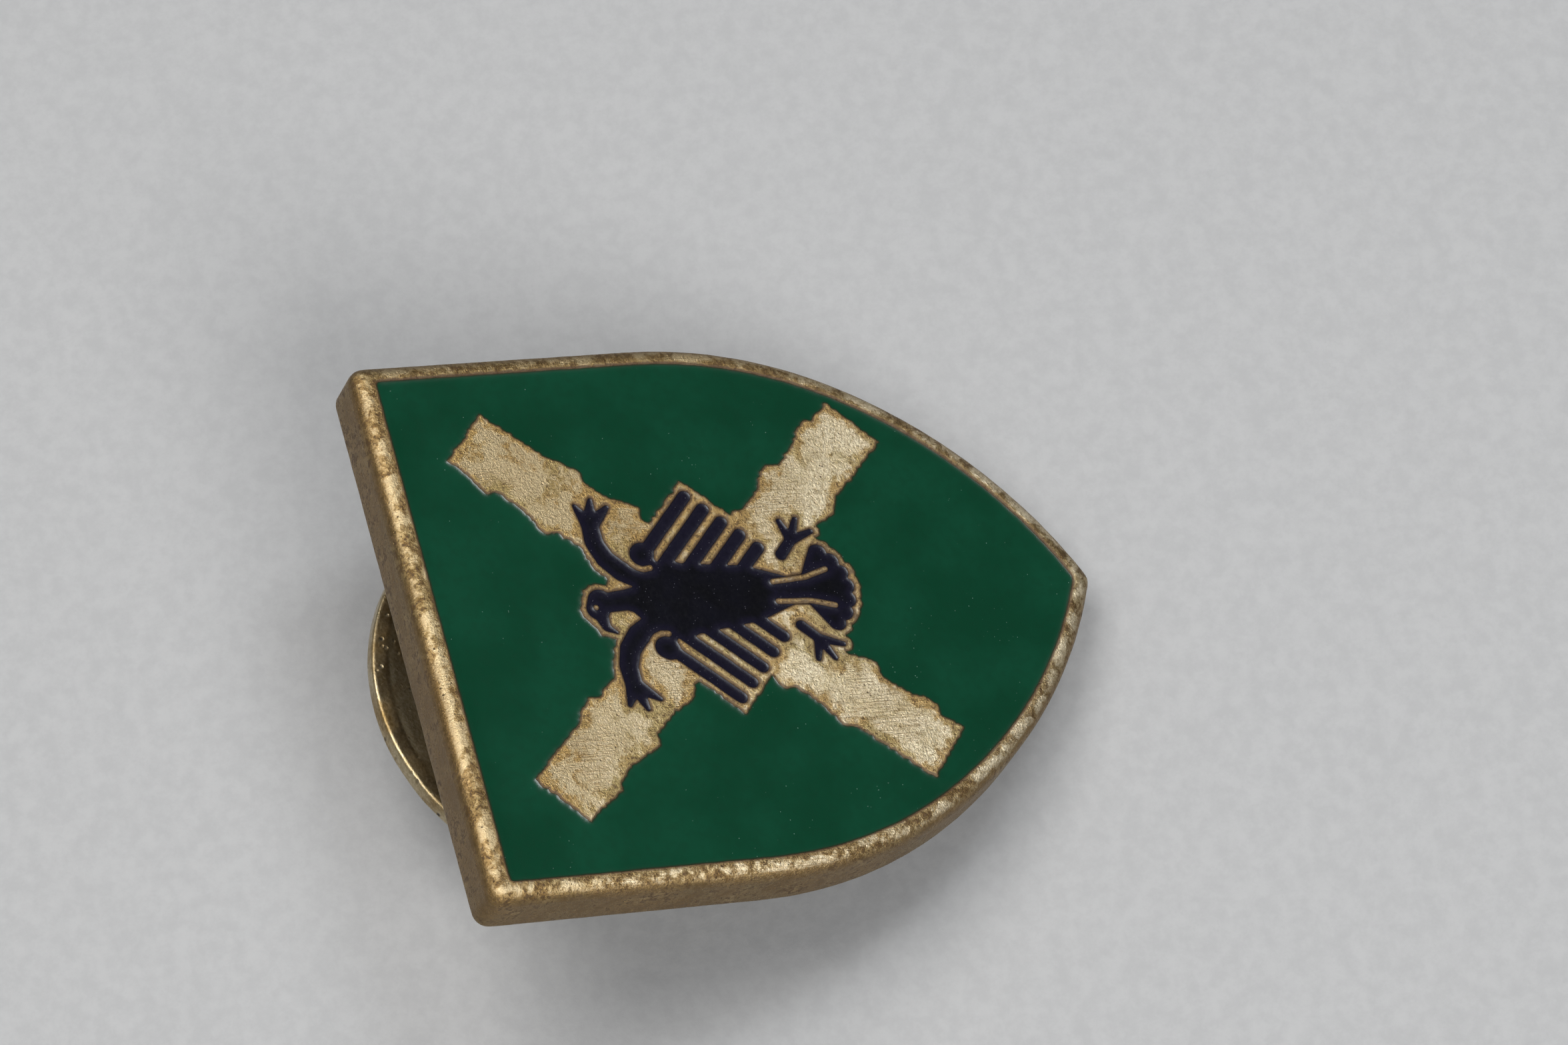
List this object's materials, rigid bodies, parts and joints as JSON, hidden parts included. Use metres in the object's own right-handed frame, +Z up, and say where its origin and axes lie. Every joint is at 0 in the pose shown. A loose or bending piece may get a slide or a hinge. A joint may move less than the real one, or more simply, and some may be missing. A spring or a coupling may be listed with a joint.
{
  "type": "cap badge",
  "caption": "Small shield-shaped enamelled metal cap badge with a ragged saltire and a spread-winged bird, held by a screw post, dished backing disc and thumb nut.",
  "frame": {"origin": "on the surface the badge lies on, under the middle of its bounding box", "axes": "+Z up from the surface, +Y towards the shield's raised straight edge, +X to the right of the face; the face is tipped back by 21.0 degrees about X"},
  "size_m": [0.016, 0.0198, 0.0085],
  "materials": {
    "gilt_brass": "aged gilding, worn satin, tarnished brown beside the enamel",
    "green_enamel": "glossy opaque enamel",
    "navy_enamel": "glossy opaque enamel",
    "turned_brass": "turned, dull",
    "solder": "dull grey solder",
    "nickel_plate": "worn nickel plating on brass, pitted"
  },
  "bodies": {
    "badge": {"badge_body": "gilt_brass", "enamel_field": "green_enamel", "enamel_bird": "navy_enamel", "enamel_claw_left": "navy_enamel", "enamel_claw_right": "navy_enamel", "screw_post": "turned_brass", "solder_bead": "solder"},
    "disc": {"backing_disc": "nickel_plate"},
    "nut": {"thumb_nut": "turned_brass"}
  },
  "joints": [
    {"name": "disc_slide", "type": "slide", "parent": "badge", "child": "disc", "axis": [0, 0.3581, -0.9337], "range_m": [-0.0023, 0.003]},
    {"name": "nut_turn", "type": "hinge", "parent": "disc", "child": "nut", "pos_m": [0, 0.00458, 0.00174], "axis": [0, 0.3581, -0.9337], "range_deg": [-1840.5, 2400.5]}
  ],
  "couplings": [
    {"joint": "nut_turn", "follows": "disc_slide", "rad_per_m": 13963}
  ]
}
